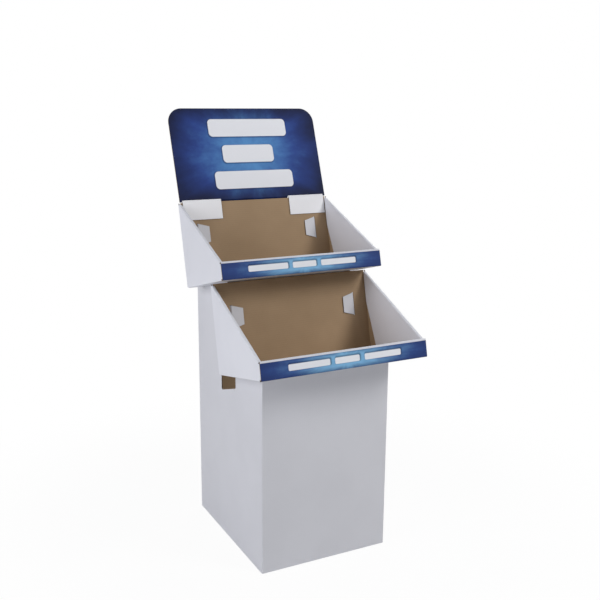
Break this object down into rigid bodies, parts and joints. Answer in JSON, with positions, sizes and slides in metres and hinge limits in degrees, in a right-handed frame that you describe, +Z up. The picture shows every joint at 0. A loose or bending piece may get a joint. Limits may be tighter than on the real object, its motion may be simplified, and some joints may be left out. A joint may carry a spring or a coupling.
{
  "type": "cardboard display stand",
  "caption": "Corrugated cardboard floor display: a stepped column carries two back-tilted trays, and a header card leans over the upper one.",
  "frame": {"origin": "on the floor, under the middle of the stand's bounding box", "axes": "+X to the right seen from the front, +Y to the back, +Z up"},
  "size_m": [0.5138, 0.7105, 1.2917],
  "materials": {
    "column_board": "white coated outside, brown kraft inside",
    "lower_tray_board": "white coated outside, brown kraft inside, blue print on the lip",
    "upper_tray_board": "white coated outside, brown kraft inside, blue print on the lip",
    "header_print": "satin blue print on white coated board, brown kraft behind"
  },
  "bodies": {
    "root": {"column": "column_board", "lower_tray": "lower_tray_board", "upper_tray": "upper_tray_board", "header_card": "header_print"}
  },
  "joints": []
}
